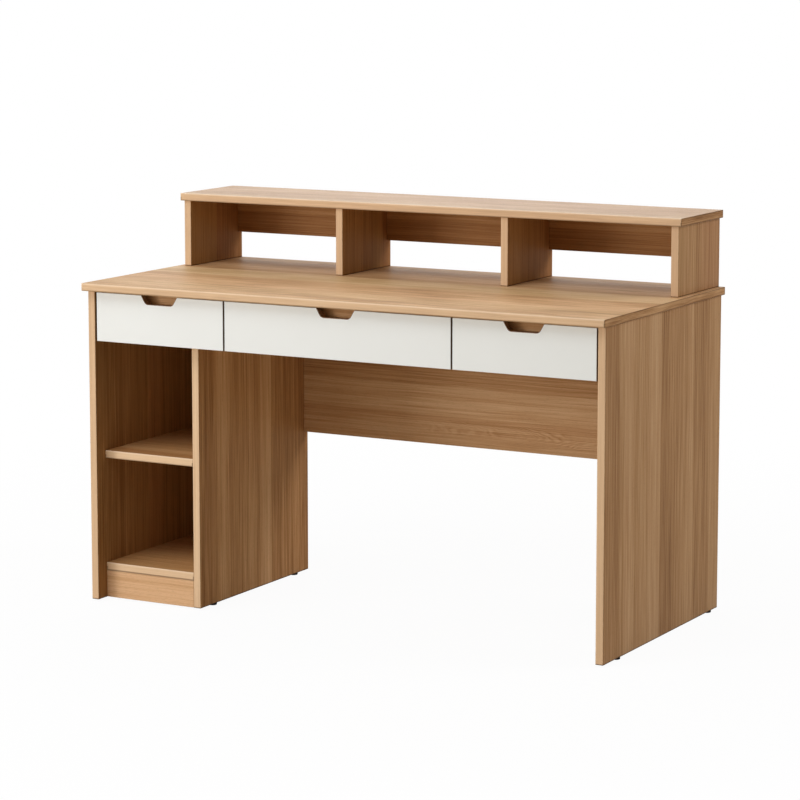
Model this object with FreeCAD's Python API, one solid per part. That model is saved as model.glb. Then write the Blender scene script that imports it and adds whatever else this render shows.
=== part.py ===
import FreeCAD, Part
import os

from FreeCAD import Placement, Rotation, Vector

# A student desk with a row of three drawers, an open pedestal at its left and a low open
# hutch along its back. Millimetres. X runs to the right, Y to the back and Z up. The origin
# is on the floor, under the middle of the desktop.

# Desk
desk_width = 1326.0
desk_depth = 650.0
desk_height = 750.0
board_thickness = 18.0
desktop_end_overhang = 6.0
desktop_front_overhang = 20.0
desktop_back_overhang = 6.0
desktop_front_round = 3.5
edge_round = 1.0

# Pedestal
pedestal_inner_width = 241.0
pedestal_front_setback = 36.0
pedestal_depth = 488.0
plinth_height = 64.0
lower_compartment_height = 248.0

# Modesty panel
modesty_height = 269.0

# Drawer fronts and the bay behind them
side_front_width = 343.0
front_height = 113.0
front_thickness = 18.0
front_setback = 2.0
front_gap = 4.0
front_top_gap = 4.0
deck_recess = 2.0
bay_front_gap = 2.0

# Handle notch in each front, and the finger pocket behind it
notch_top_width = 96.0
notch_bottom_width = 72.0
notch_depth = 20.0
notch_corner_radius = 12.0
edge_band_thickness = 1.0
pocket_depth = 10.0
pocket_margin = 6.0
pocket_drop = 12.0

# Drawer boxes
box_side_thickness = 12.0
box_front_thickness = 15.0
box_back_thickness = 12.0
box_bottom_thickness = 4.0
box_floor_clearance = 8.0
box_back_clearance = 34.0
groove_depth = 6.0
groove_rise = 8.0
groove_play = 0.2

# Drawer slides: an outer, a middle and an inner rail, one inside the other
slide_height = 45.0
slide_thickness = 12.7
slide_rise = 2.0
slide_front_setback = 1.0
slide_back_margin = 3.0
rail_wall = 1.5
rail_play = 0.4
rail_web_gap = 0.7

# Hutch
hutch_height = 176.0
hutch_depth = 238.0
hutch_end_inset = 7.0
hutch_end_overhang = 8.0
hutch_front_overhang = 5.0
hutch_rail_height = 94.0
hutch_middle_bay_width = 416.0

# Glide feet
foot_height = 5.0
foot_diameter = 20.0
foot_round = 2.0
foot_front_inset = 84.0
foot_back_inset = 40.0
divider_foot_front_inset = 66.0
divider_foot_back_inset = 55.0
foot_nail_diameter = 4.0
foot_nail_length = 15.0

# Dowels
dowel_diameter = 8.0
dowel_in_face = 12.0
dowel_in_end = 18.0
dowel_chamfer = 1.0
dowel_inset = 28.0
plinth_dowel_inset = 16.0
rail_dowel_inset = 20.0
centre_rail_dowel_inset = 34.0
modesty_dowel_inset = 44.0
hutch_dowel_inset = 40.0
hole_end_gap = 1.0

# Cam fittings: a bolt screwed into one board, held by a nut let into the other
cam_nut_diameter = 15.0
cam_nut_height = 13.5
cam_distance = 24.0
cam_slot_diameter = 7.0
cam_slot_past_centre = 4.0
cam_cross_length = 9.0
cam_cross_width = 1.6
cam_cross_depth = 2.0
cam_bolt_diameter = 6.0
cam_bolt_thread = 11.0
cam_neck_diameter = 3.5
cam_head_length = 3.0
cam_inset = 60.0
modesty_cam_inset = 84.0
top_cam_inset = 80.0

# Screws
screw_diameter = 4.0
screw_head_diameter = 7.6
screw_head_height = 1.8
corner_screw_length = 36.0
front_screw_length = 27.0
rail_screw_length = 10.0
hutch_screw_length = 50.0
hutch_screw_inset = 50.0
corner_screw_drops = (10.0, 30.0)
front_screw_inset = 36.0
front_screw_drops = (28.0, 62.0)
rail_screw_inset = 30.0
rail_screw_stagger = 40.0

# Fits
fit_clearance = 0.05
past_face = 1.0
same_place = 0.001

# Places across the width
half_width = desk_width / 2
side_outer_x = half_width - desktop_end_overhang
side_inner_x = side_outer_x - board_thickness
divider_left_x = -side_inner_x + pedestal_inner_width
divider_right_x = divider_left_x + board_thickness
partition_centre_x = side_inner_x - front_gap - side_front_width - front_gap / 2
hutch_end_x = half_width - hutch_end_inset
hutch_side_outer_x = hutch_end_x - hutch_end_overhang
hutch_side_inner_x = hutch_side_outer_x - board_thickness

# Places from front to back
front_y = -desk_depth / 2
back_y = desk_depth / 2
side_front_y = front_y + desktop_front_overhang
side_back_y = back_y - desktop_back_overhang
pedestal_front_y = side_front_y + pedestal_front_setback
pedestal_back_y = pedestal_front_y + pedestal_depth
back_board_y = pedestal_back_y - board_thickness
front_face_y = side_front_y + front_setback
front_rear_y = front_face_y + front_thickness
bay_front_y = front_rear_y + bay_front_gap
box_inner_front_y = front_rear_y + box_front_thickness
box_back_y = back_board_y - box_back_clearance
box_inner_back_y = box_back_y - box_back_thickness
slide_front_y = bay_front_y + slide_front_setback
slide_back_y = box_back_y - slide_back_margin
hutch_front_y = back_y - hutch_depth
hutch_board_front_y = hutch_front_y + hutch_front_overhang

# Places up the height
desktop_under_z = desk_height - board_thickness
front_top_z = desktop_under_z - front_top_gap
front_bottom_z = front_top_z - front_height
deck_bottom_z = front_bottom_z + deck_recess
deck_top_z = deck_bottom_z + board_thickness
notch_bottom_z = front_top_z - notch_depth
bottom_shelf_z = foot_height + plinth_height
compartment_floor_z = bottom_shelf_z + board_thickness
middle_shelf_z = compartment_floor_z + lower_compartment_height
modesty_bottom_z = deck_bottom_z - modesty_height
box_bottom_z = deck_top_z + box_floor_clearance
groove_bottom_z = box_bottom_z + groove_rise
groove_top_z = groove_bottom_z + box_bottom_thickness + groove_play
slide_centre_z = box_bottom_z + slide_rise + slide_height / 2
hutch_top_z = desk_height + hutch_height
hutch_under_z = hutch_top_z - board_thickness
hutch_rail_bottom_z = hutch_under_z - hutch_rail_height

right = Vector(1, 0, 0)
left = Vector(-1, 0, 0)
backward = Vector(0, 1, 0)
forward = Vector(0, -1, 0)
up = Vector(0, 0, 1)
down = Vector(0, 0, -1)

pieces = {}
holes = {}
fittings = {"dowels": [], "cam_nuts": [], "cam_bolts": []}


# Basic shapes

def block(x_range, y_range, z_range):
    """A box between two X, two Y and two Z values."""
    size = (x_range[1] - x_range[0], y_range[1] - y_range[0], z_range[1] - z_range[0])
    return Part.makeBox(*size, Vector(x_range[0], y_range[0], z_range[0]))


def edges_at(shape, **place):
    """The edges whose two ends both lie at the given x, y or z values."""
    found = []
    for edge in shape.Edges:
        offsets = [
            abs(getattr(vertex.Point, axis) - value)
            for vertex in edge.Vertexes
            for axis, value in place.items()
        ]
        if max(offsets) < same_place:
            found.append(edge)
    return found


def soften(shape, radius, places):
    """Rounds the edges at each of the given places."""
    edges = []
    for place in places:
        edges.extend(edges_at(shape, **place))
    return shape.makeFillet(radius, edges)


def add_piece(name, shape):
    """Keeps a piece under its node name, ready to be drilled."""
    pieces[name] = shape
    holes[name] = []


def shelf(name, x_range, y_range, z_bottom):
    """A horizontal board with softened front edges."""
    z_range = (z_bottom, z_bottom + board_thickness)
    shape = block(x_range, y_range, z_range)
    front_edges = [{"y": y_range[0], "z": z} for z in z_range]
    add_piece(name, soften(shape, edge_round, front_edges))


def upright(name, x_left, y_range, z_range):
    """A vertical board that faces the sides, with softened front and back edges."""
    x_range = (x_left, x_left + board_thickness)
    shape = block(x_range, y_range, z_range)
    long_edges = [{"x": x, "y": y} for x in x_range for y in y_range]
    add_piece(name, soften(shape, edge_round, long_edges))


# Fittings

def add_dowel(point, into, face_board, end_board):
    """A dowel across a joint, from the face of one board into the end of another."""
    length = dowel_in_face + dowel_in_end
    start = point - into * dowel_in_face
    pin = Part.makeCylinder(dowel_diameter / 2, length, start, into)
    rims = [edge for edge in pin.Edges if len(edge.Vertexes) == 1]
    fittings["dowels"].append(pin.makeChamfer(dowel_chamfer, rims))
    hole = Part.makeCylinder(
        dowel_diameter / 2 + fit_clearance,
        length + 2 * hole_end_gap,
        start - into * hole_end_gap,
        into,
    )
    holes[face_board].append(hole)
    holes[end_board].append(hole)


def cam_nut(centre, into, nut_face):
    """A cam nut with its cross on the board's face and its slot towards the bolt."""
    nut = Part.makeCylinder(cam_nut_diameter / 2, cam_nut_height, Vector(0, 0, -cam_nut_height))
    slot_start_x = -cam_nut_diameter / 2 - past_face
    slot = Part.makeCylinder(
        cam_slot_diameter / 2,
        cam_slot_past_centre - slot_start_x,
        Vector(slot_start_x, 0, -board_thickness / 2),
        right,
    )
    half_length = cam_cross_length / 2
    half_width_of_arm = cam_cross_width / 2
    recess = (-cam_cross_depth, past_face)
    arm = block((-half_length, half_length), (-half_width_of_arm, half_width_of_arm), recess)
    other_arm = block((-half_width_of_arm, half_width_of_arm), (-half_length, half_length), recess)
    nut = nut.cut([slot, arm, other_arm])
    turn = Rotation(into, nut_face.cross(into), nut_face, "ZXY")
    return nut.transformed(Placement(centre, turn).toMatrix())


def cam_bolt(point, into):
    """A cam bolt: a thread in the face board, a shank, a neck and a head in the nut."""
    shank_end = cam_distance - cam_nut_diameter / 2
    neck_end = cam_distance
    shank = Part.makeCylinder(
        cam_bolt_diameter / 2, cam_bolt_thread + shank_end, point - into * cam_bolt_thread, into
    )
    neck = Part.makeCylinder(
        cam_neck_diameter / 2, neck_end - shank_end, point + into * shank_end, into
    )
    head = Part.makeCylinder(cam_bolt_diameter / 2, cam_head_length, point + into * neck_end, into)
    return shank.fuse([neck, head]).removeSplitter()


def add_cam(point, into, nut_face, face_board, end_board):
    """A cam bolt in the face board and its nut in the end board."""
    centre = point + into * cam_distance + nut_face * (board_thickness / 2)
    fittings["cam_nuts"].append(cam_nut(centre, into, nut_face))
    fittings["cam_bolts"].append(cam_bolt(point, into))
    bolt_hole = Part.makeCylinder(
        cam_bolt_diameter / 2 + fit_clearance,
        cam_bolt_thread + hole_end_gap + cam_distance,
        point - into * (cam_bolt_thread + hole_end_gap),
        into,
    )
    nut_hole = Part.makeCylinder(
        cam_nut_diameter / 2 + fit_clearance,
        cam_nut_height + hole_end_gap + past_face,
        centre + nut_face * past_face,
        nut_face * -1,
    )
    holes[face_board].append(bolt_hole)
    holes[end_board].extend([bolt_hole, nut_hole])


def join(face_board, end_board, start, stop, into, nut_face=None, dowels_at=dowel_inset, cams_at=cam_inset):
    """Joins the end of one board to the face of another, along the line start to stop."""
    along = (stop - start).normalize()
    for point in (start + along * dowels_at, stop - along * dowels_at):
        add_dowel(point, into, face_board, end_board)
    if nut_face is not None:
        for point in (start + along * cams_at, stop - along * cams_at):
            add_cam(point, into, nut_face, face_board, end_board)


def screw(head_point, direction, length):
    """A countersunk screw with its head flush with the face at head_point."""
    head = Part.makeCone(
        screw_head_diameter / 2, screw_diameter / 2, screw_head_height, head_point, direction
    )
    shank = Part.makeCylinder(
        screw_diameter / 2,
        length - screw_head_height,
        head_point + direction * screw_head_height,
        direction,
    )
    return head.fuse(shank).removeSplitter()


def screw_hole(head_point, direction, length):
    """The hole for a screw, with a running clearance all round."""
    head = Part.makeCone(
        screw_head_diameter / 2 + fit_clearance,
        screw_diameter / 2 + fit_clearance,
        screw_head_height,
        head_point,
        direction,
    )
    shank = Part.makeCylinder(
        screw_diameter / 2 + fit_clearance, length + hole_end_gap, head_point, direction
    )
    return head.fuse(shank)


def add_screw(group, head_point, direction, length, through):
    """A screw in a group, and its hole in each piece that it passes through or into."""
    fittings.setdefault(group, []).append(screw(head_point, direction, length))
    for name in through:
        holes[name].append(screw_hole(head_point, direction, length))


# Desk carcass

def make_desktop():
    z_range = (desktop_under_z, desk_height)
    shape = block((-half_width, half_width), (front_y, back_y), z_range)
    front_edges = [{"y": front_y, "z": z} for z in z_range]
    front_edges += [{"y": front_y, "x": x} for x in (-half_width, half_width)]
    shape = soften(shape, desktop_front_round, front_edges)
    other_edges = [edge for edge in shape.Edges if is_outer_rim(edge, z_range)]
    add_piece("desktop", shape.makeFillet(edge_round, other_edges))


def is_outer_rim(edge, z_range):
    """Whether an edge is a straight one along the desktop's back or one of its ends."""
    if len(edge.Vertexes) < 2:
        return False
    first, last = (vertex.Point for vertex in edge.Vertexes)
    level = abs(first.z - last.z) < same_place and min(abs(first.z - z) for z in z_range) < same_place
    at_back = abs(first.y - back_y) < same_place and abs(last.y - back_y) < same_place
    at_end = abs(abs(first.x) - half_width) < same_place and abs(first.x - last.x) < same_place
    return level and (at_back or at_end)


def make_side_panels():
    y_range = (side_front_y, side_back_y)
    z_range = (foot_height, desktop_under_z)
    for name, x_left, inner_x, inward in (
        ("left_side_panel", -side_outer_x, -side_inner_x, right),
        ("right_side_panel", side_inner_x, side_inner_x, left),
    ):
        upright(name, x_left, y_range, z_range)
        centre_x = x_left + board_thickness / 2
        join(
            "desktop",
            name,
            Vector(centre_x, side_front_y, desktop_under_z),
            Vector(centre_x, side_back_y, desktop_under_z),
            down,
            nut_face=inward,
            cams_at=top_cam_inset,
        )


def make_pedestal():
    upright(
        "pedestal_divider",
        divider_left_x,
        (pedestal_front_y, pedestal_back_y),
        (foot_height, deck_bottom_z),
    )
    inner_x = (-side_inner_x, divider_left_x)
    ends = (("left_side_panel", inner_x[0], right), ("pedestal_divider", inner_x[1], left))

    plinth_y = (pedestal_front_y, pedestal_front_y + board_thickness)
    plinth = block(inner_x, plinth_y, (foot_height, bottom_shelf_z))
    plinth = soften(plinth, edge_round, [{"y": pedestal_front_y, "z": foot_height}])
    add_piece("plinth", plinth)
    back = block(inner_x, (back_board_y, pedestal_back_y), (foot_height, deck_bottom_z))
    back = soften(back, edge_round, [{"y": pedestal_back_y, "z": foot_height}])
    add_piece("pedestal_back_panel", back)
    shelves = (("bottom_shelf", bottom_shelf_z), ("middle_shelf", middle_shelf_z))
    for name, z_bottom in shelves:
        shelf(name, inner_x, (pedestal_front_y, back_board_y), z_bottom)

    plinth_centre_y = pedestal_front_y + board_thickness / 2
    back_centre_y = back_board_y + board_thickness / 2
    for face_board, x, into in ends:
        join(
            face_board,
            "plinth",
            Vector(x, plinth_centre_y, foot_height),
            Vector(x, plinth_centre_y, bottom_shelf_z),
            into,
            dowels_at=plinth_dowel_inset,
        )
        join(
            face_board,
            "pedestal_back_panel",
            Vector(x, back_centre_y, foot_height),
            Vector(x, back_centre_y, deck_bottom_z),
            into,
            nut_face=backward,
        )
        for name, z_bottom in shelves:
            centre_z = z_bottom + board_thickness / 2
            join(
                face_board,
                name,
                Vector(x, pedestal_front_y, centre_z),
                Vector(x, back_board_y, centre_z),
                into,
                nut_face=down,
            )


def make_modesty_panel():
    x_range = (divider_right_x, side_inner_x)
    y_range = (back_board_y, pedestal_back_y)
    z_range = (modesty_bottom_z, deck_bottom_z)
    panel = block(x_range, y_range, z_range)
    lower_edges = [{"y": y, "z": modesty_bottom_z} for y in y_range]
    add_piece("modesty_panel", soften(panel, edge_round, lower_edges))
    centre_y = back_board_y + board_thickness / 2
    for face_board, x, into in (
        ("pedestal_divider", x_range[0], right),
        ("right_side_panel", x_range[1], left),
    ):
        join(
            face_board,
            "modesty_panel",
            Vector(x, centre_y, z_range[0]),
            Vector(x, centre_y, z_range[1]),
            into,
            nut_face=backward,
            dowels_at=modesty_dowel_inset,
            cams_at=modesty_cam_inset,
        )


def make_drawer_bay():
    """The deck under the drawers, the board behind them and the two partitions."""
    inner_x = (-side_inner_x, side_inner_x)
    deck_y = (bay_front_y, pedestal_back_y)
    deck_centre_z = deck_bottom_z + board_thickness / 2
    back_centre_y = back_board_y + board_thickness / 2
    shelf("drawer_deck", inner_x, deck_y, deck_bottom_z)
    bay_back = block(inner_x, (back_board_y, pedestal_back_y), (deck_top_z, desktop_under_z))
    add_piece("drawer_bay_back", bay_back)
    for face_board, x, into in (
        ("left_side_panel", inner_x[0], right),
        ("right_side_panel", inner_x[1], left),
    ):
        join(
            face_board,
            "drawer_deck",
            Vector(x, deck_y[0], deck_centre_z),
            Vector(x, deck_y[1], deck_centre_z),
            into,
            nut_face=down,
        )
        join(
            face_board,
            "drawer_bay_back",
            Vector(x, back_centre_y, deck_top_z),
            Vector(x, back_centre_y, desktop_under_z),
            into,
            dowels_at=rail_dowel_inset,
        )
    divider_centre_x = divider_left_x + board_thickness / 2
    join(
        "drawer_deck",
        "pedestal_divider",
        Vector(divider_centre_x, pedestal_front_y, deck_bottom_z),
        Vector(divider_centre_x, pedestal_back_y, deck_bottom_z),
        down,
        dowels_at=modesty_dowel_inset,
    )
    for name, centre_x in (
        ("left_drawer_partition", -partition_centre_x),
        ("right_drawer_partition", partition_centre_x),
    ):
        upright(
            name,
            centre_x - board_thickness / 2,
            (bay_front_y, back_board_y),
            (deck_top_z, desktop_under_z),
        )
        for face_board, z, into in (("drawer_deck", deck_top_z, up), ("desktop", desktop_under_z, down)):
            join(
                face_board,
                name,
                Vector(centre_x, bay_front_y, z),
                Vector(centre_x, back_board_y, z),
                into,
            )


# Hutch

def hutch_upright_places():
    """Node name and left face of each of the hutch's uprights, from left to right."""
    half_middle_bay = hutch_middle_bay_width / 2
    return [
        ("hutch_left_side", -hutch_side_outer_x),
        ("hutch_partition_1", -half_middle_bay - board_thickness),
        ("hutch_partition_2", half_middle_bay),
        ("hutch_right_side", hutch_side_inner_x),
    ]


def make_hutch():
    y_range = (hutch_board_front_y, back_y)
    top = block((-hutch_end_x, hutch_end_x), (hutch_front_y, back_y), (hutch_under_z, hutch_top_z))
    add_piece("hutch_top", top.makeFillet(edge_round, top.Edges))
    places = hutch_upright_places()
    for name, x_left in places:
        upright(name, x_left, y_range, (desk_height, hutch_under_z))
        centre_x = x_left + board_thickness / 2
        join(
            "hutch_top",
            name,
            Vector(centre_x, y_range[0], hutch_under_z),
            Vector(centre_x, y_range[1], hutch_under_z),
            down,
            dowels_at=hutch_dowel_inset,
        )
    for name, x_left in (places[0], places[-1]):
        centre_x = x_left + board_thickness / 2
        join(
            "desktop",
            name,
            Vector(centre_x, y_range[0], desk_height),
            Vector(centre_x, y_range[1], desk_height),
            up,
            dowels_at=hutch_screw_inset,
        )
    for name, x_left in places[1:-1]:
        centre_x = x_left + board_thickness / 2
        for y in (y_range[0] + hutch_screw_inset, y_range[1] - hutch_screw_inset):
            point = Vector(centre_x, y, desktop_under_z)
            add_screw("hutch_screws", point, up, hutch_screw_length, ("desktop", name))
    make_hutch_rails(places)


def make_hutch_rails(places):
    """A rail at the back of each bay, with a slot for cables under it."""
    y_range = (back_y - board_thickness, back_y)
    z_range = (hutch_rail_bottom_z, hutch_under_z)
    centre_y = back_y - board_thickness / 2
    for number in range(1, len(places)):
        left_name, left_board_x = places[number - 1]
        right_name, right_x = places[number]
        left_x = left_board_x + board_thickness
        name = f"hutch_rail_{number}"
        rail = block((left_x, right_x), y_range, z_range)
        lower_edges = [{"y": y, "z": hutch_rail_bottom_z} for y in y_range]
        add_piece(name, soften(rail, edge_round, lower_edges))
        inset = centre_rail_dowel_inset if number % 2 == 0 else rail_dowel_inset
        for face_board, x, into in ((left_name, left_x, right), (right_name, right_x, left)):
            join(
                face_board,
                name,
                Vector(x, centre_y, z_range[0]),
                Vector(x, centre_y, z_range[1]),
                into,
                dowels_at=inset,
            )


# Drawers

def notch_solid(centre_x, grow, y_range):
    """The handle notch as a solid, with its sloping sides and floor moved out by grow."""
    slope = (notch_top_width - notch_bottom_width) / 2 / notch_depth
    sideways = grow * (1 + slope**2) ** 0.5
    rise = past_face
    floor_z = notch_bottom_z - grow
    half_floor = notch_bottom_width / 2 + sideways - slope * grow
    half_mouth = notch_top_width / 2 + sideways + slope * rise
    mouth_z = front_top_z + rise
    corners = [
        Vector(centre_x - half_mouth, y_range[0], mouth_z),
        Vector(centre_x - half_floor, y_range[0], floor_z),
        Vector(centre_x + half_floor, y_range[0], floor_z),
        Vector(centre_x + half_mouth, y_range[0], mouth_z),
    ]
    outline = Part.makePolygon(corners + corners[:1])
    solid = Part.Face(outline).extrude(Vector(0, y_range[1] - y_range[0], 0))
    return solid.makeFillet(notch_corner_radius + grow, floor_edges(solid, floor_z))


def floor_edges(solid, floor_z):
    """The edges along Y at the floor of a notch or pocket."""
    return [
        edge
        for edge in edges_at(solid, z=floor_z)
        if abs(edge.Vertexes[0].Y - edge.Vertexes[1].Y) > same_place
    ]


def make_drawer_front(drawer, x_range):
    """The white front, with its notch cut in the top edge and banded."""
    y_range = (front_face_y, front_rear_y)
    z_range = (front_bottom_z, front_top_z)
    centre_x = sum(x_range) / 2
    shape = block(x_range, y_range, z_range)
    outer_edges = [{"y": front_face_y, "x": x} for x in x_range]
    outer_edges.append({"y": front_face_y, "z": front_bottom_z})
    shape = soften(shape, edge_round, outer_edges)
    past_front = (front_face_y - past_face, front_rear_y + past_face)
    add_piece(f"{drawer}_drawer_front", shape.cut(notch_solid(centre_x, edge_band_thickness, past_front)))
    band = notch_solid(centre_x, edge_band_thickness, y_range).cut(notch_solid(centre_x, 0, past_front))
    above = block(x_range, past_front, (front_top_z, front_top_z + front_height))
    add_piece(f"{drawer}_drawer_notch_band", band.cut(above))


def make_box_front(drawer, x_range, notch_centre_x):
    """The front board of the box, with a pocket that lets fingers curl behind the notch."""
    y_range = (front_rear_y, box_inner_front_y)
    board = block(x_range, y_range, (box_bottom_z, front_top_z))
    half_pocket = notch_top_width / 2 + pocket_margin
    pocket_floor_z = notch_bottom_z - pocket_drop
    pocket = block(
        (notch_centre_x - half_pocket, notch_centre_x + half_pocket),
        (front_rear_y - past_face, front_rear_y + pocket_depth),
        (pocket_floor_z, front_top_z + past_face),
    )
    pocket = pocket.makeFillet(notch_corner_radius, floor_edges(pocket, pocket_floor_z))
    groove = block(
        x_range, (box_inner_front_y - groove_depth, box_inner_front_y), (groove_bottom_z, groove_top_z)
    )
    add_piece(f"{drawer}_drawer_box_front", board.cut([pocket, groove]))


def make_box(drawer, outer_x, notch_centre_x):
    """The plywood box: two sides, front, back and a thin bottom held in grooves."""
    inner_x = (outer_x[0] + box_side_thickness, outer_x[1] - box_side_thickness)
    z_range = (box_bottom_z, front_top_z)
    groove_z = (groove_bottom_z, groove_top_z)
    make_box_front(drawer, inner_x, notch_centre_x)
    for side, side_x, groove_x in (
        ("left", (outer_x[0], inner_x[0]), (inner_x[0] - groove_depth, inner_x[0])),
        ("right", (inner_x[1], outer_x[1]), (inner_x[1], inner_x[1] + groove_depth)),
    ):
        board = block(side_x, (front_rear_y, box_back_y), z_range)
        groove = block(groove_x, (front_rear_y, box_back_y), groove_z)
        add_piece(f"{drawer}_drawer_{side}_side", board.cut(groove))
    board = block(inner_x, (box_inner_back_y, box_back_y), z_range)
    groove = block(inner_x, (box_inner_back_y, box_inner_back_y + groove_depth), groove_z)
    add_piece(f"{drawer}_drawer_back", board.cut(groove))
    reach = groove_depth - groove_play
    bottom = block(
        (inner_x[0] - reach, inner_x[1] + reach),
        (box_inner_front_y - reach, box_inner_back_y + reach),
        (groove_bottom_z, groove_bottom_z + box_bottom_thickness),
    )
    add_piece(f"{drawer}_drawer_bottom", bottom)


def rail(face_x, inward, web_at, open_at, half_height):
    """A C-shaped rail from its web to its open side, both measured inward from the wall at face_x."""
    y_range = (slide_front_y, slide_back_y)
    hollow_half = half_height - rail_wall
    hollow_from = web_at + rail_wall if open_at > web_at else web_at - rail_wall
    outside_x = sorted((face_x + inward * web_at, face_x + inward * open_at))
    hollow_x = sorted((face_x + inward * hollow_from, face_x + inward * open_at))
    outside = block(outside_x, y_range, (slide_centre_z - half_height, slide_centre_z + half_height))
    hollow = block(hollow_x, y_range, (slide_centre_z - hollow_half, slide_centre_z + hollow_half))
    return outside.cut(hollow)


def make_slides(drawer, bay_x, screw_inset):
    """The outer, middle and inner rails at both sides of a drawer, and their screws."""
    outer_half = slide_height / 2
    middle_half = outer_half - rail_wall - rail_play
    inner_half = middle_half - rail_wall - rail_play
    flange_end = slide_thickness - rail_wall
    middle_web = rail_wall + rail_web_gap
    inner_start = middle_web + rail_wall + rail_web_gap
    outer_rails = []
    middle_rails = []
    inner_rails = []
    for face_x, inward in ((bay_x[0], 1), (bay_x[1], -1)):
        outer_rails.append(rail(face_x, inward, 0, flange_end, outer_half))
        middle_rails.append(rail(face_x, inward, middle_web, flange_end, middle_half))
        inner_rails.append(rail(face_x, inward, slide_thickness, inner_start, inner_half))
    add_piece(f"{drawer}_drawer_outer_rails", Part.makeCompound(outer_rails))
    add_piece(f"{drawer}_drawer_middle_rails", Part.makeCompound(middle_rails))
    add_piece(f"{drawer}_drawer_inner_rails", Part.makeCompound(inner_rails))
    carriers = {
        "left": ("left_side_panel", "left_drawer_partition"),
        "centre": ("left_drawer_partition", "right_drawer_partition"),
        "right": ("right_drawer_partition", "right_side_panel"),
    }[drawer]
    screw_places = (slide_front_y + screw_inset, slide_back_y - screw_inset)
    for carrier, side, face_x, inward in (
        (carriers[0], "left", bay_x[0], right),
        (carriers[1], "right", bay_x[1], left),
    ):
        for y in screw_places:
            wall_point = Vector(face_x, y, slide_centre_z)
            add_screw(
                "rail_screws",
                wall_point + inward * rail_wall,
                inward * -1,
                rail_screw_length,
                (f"{drawer}_drawer_outer_rails", carrier),
            )
            add_screw(
                f"{drawer}_drawer_screws",
                wall_point + inward * flange_end,
                inward,
                rail_screw_length,
                (f"{drawer}_drawer_inner_rails", f"{drawer}_drawer_{side}_side"),
            )


def add_box_screws(drawer, outer_x):
    """The screws at the box's corners, and those that hold the white front."""
    group = f"{drawer}_drawer_screws"
    box_front = f"{drawer}_drawer_box_front"
    box_back = f"{drawer}_drawer_back"
    front_centre_y = front_rear_y + box_front_thickness / 2
    back_centre_y = box_back_y - box_back_thickness / 2
    for side, x, inward in (("left", outer_x[0], right), ("right", outer_x[1], left)):
        side_board = f"{drawer}_drawer_{side}_side"
        for drop in corner_screw_drops:
            z = front_top_z - drop
            for end_board, y in ((box_front, front_centre_y), (box_back, back_centre_y)):
                add_screw(group, Vector(x, y, z), inward, corner_screw_length, (side_board, end_board))
        for drop in front_screw_drops:
            point = Vector(x, box_inner_front_y, front_top_z - drop)
            point += inward * (box_side_thickness + front_screw_inset)
            through = (box_front, f"{drawer}_drawer_front")
            add_screw(group, point, forward, front_screw_length, through)


def make_drawers():
    inner_partition_x = partition_centre_x - board_thickness / 2
    outer_partition_x = partition_centre_x + board_thickness / 2
    gap_edge_x = partition_centre_x - front_gap / 2
    far_edge_x = side_inner_x - front_gap
    near_edge_x = partition_centre_x + front_gap / 2
    for drawer, front_x, bay_x, screw_inset in (
        ("left", (-far_edge_x, -near_edge_x), (-side_inner_x, -outer_partition_x), rail_screw_inset),
        (
            "centre",
            (-gap_edge_x, gap_edge_x),
            (-inner_partition_x, inner_partition_x),
            rail_screw_inset + rail_screw_stagger,
        ),
        ("right", (near_edge_x, far_edge_x), (outer_partition_x, side_inner_x), rail_screw_inset),
    ):
        box_x = (bay_x[0] + slide_thickness, bay_x[1] - slide_thickness)
        make_drawer_front(drawer, front_x)
        make_box(drawer, box_x, sum(front_x) / 2)
        make_slides(drawer, bay_x, screw_inset)
        add_box_screws(drawer, box_x)


# Feet

def make_feet():
    """Round glides, nailed under the side panels and the divider."""
    feet = []
    side_foot_places = (side_front_y + foot_front_inset, side_back_y - foot_back_inset)
    divider_foot_places = (
        pedestal_front_y + divider_foot_front_inset,
        pedestal_back_y - divider_foot_back_inset,
    )
    for name, x_left, foot_places in (
        ("left_side_panel", -side_outer_x, side_foot_places),
        ("pedestal_divider", divider_left_x, divider_foot_places),
        ("right_side_panel", side_inner_x, side_foot_places),
    ):
        centre_x = x_left + board_thickness / 2
        for y in foot_places:
            disc = Part.makeCylinder(foot_diameter / 2, foot_height, Vector(centre_x, y, 0))
            disc = disc.makeFillet(foot_round, edges_at(disc, z=0))
            nail_base = Vector(centre_x, y, foot_height)
            nail = Part.makeCylinder(foot_nail_diameter / 2, foot_nail_length, nail_base)
            feet.append(disc.fuse(nail).removeSplitter())
            nail_hole = Part.makeCylinder(
                foot_nail_diameter / 2 + fit_clearance,
                foot_nail_length + hole_end_gap + past_face,
                Vector(centre_x, y, foot_height - past_face),
            )
            holes[name].append(nail_hole)
    add_piece("feet", Part.makeCompound(feet))


def drilled(shape, cutters):
    """A piece with its holes cut, solid by solid, so that a group stays a group."""
    if not cutters:
        return shape
    solids = [solid.cut(cutters) for solid in shape.Solids]
    if len(solids) == 1:
        return solids[0]
    return Part.makeCompound(solids)


def main():
    make_desktop()
    make_side_panels()
    make_pedestal()
    make_modesty_panel()
    make_drawer_bay()
    make_hutch()
    make_drawers()
    make_feet()
    os.makedirs("parts", exist_ok=True)
    finished = {name: drilled(shape, holes[name]) for name, shape in pieces.items()}
    for name, group in fittings.items():
        finished[name] = Part.makeCompound(group)
    for name, shape in finished.items():
        shape.exportStep(f"parts/{name}.step")
        print(name, "solids:", len(shape.Solids), "valid:", shape.isValid())


main()
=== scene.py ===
import math
import random

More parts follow.
